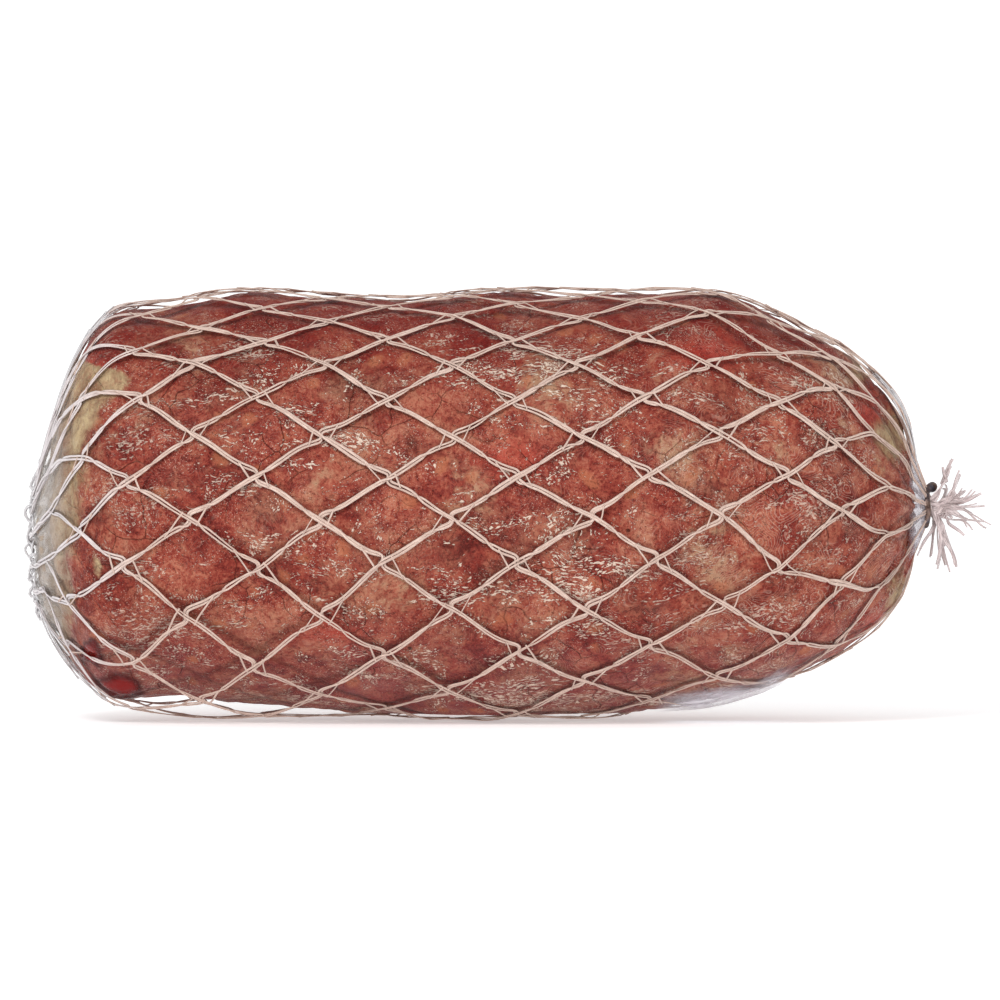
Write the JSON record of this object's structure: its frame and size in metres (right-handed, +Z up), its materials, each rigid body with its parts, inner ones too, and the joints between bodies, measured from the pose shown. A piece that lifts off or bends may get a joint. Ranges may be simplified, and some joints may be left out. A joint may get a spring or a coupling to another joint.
{
  "type": "netted salami",
  "caption": "Large salami log in a coarse diamond net, the net's mouth gathered in a wire clip with a frayed tail.",
  "frame": {"origin": "centre of the footprint of the whole object, on the surface that it lies on", "axes": "+X along the log towards the clipped end, -Y the side that shows, +Z up"},
  "size_m": [0.2974, 0.1386, 0.1354],
  "materials": {
    "meat": "cured sausage meat under a thin dried casing, dull with a faint grease sheen",
    "net_yarn": "flat twisted cotton and elastic yarn, unbleached, matt",
    "clip_wire": "dull dark wire, slightly oxidised",
    "frayed_yarn": "cut and frayed net yarn, pale and matt"
  },
  "bodies": {
    "root": {"salami": "meat", "net": "net_yarn", "clip": "clip_wire", "net_tail": "frayed_yarn"}
  },
  "joints": []
}
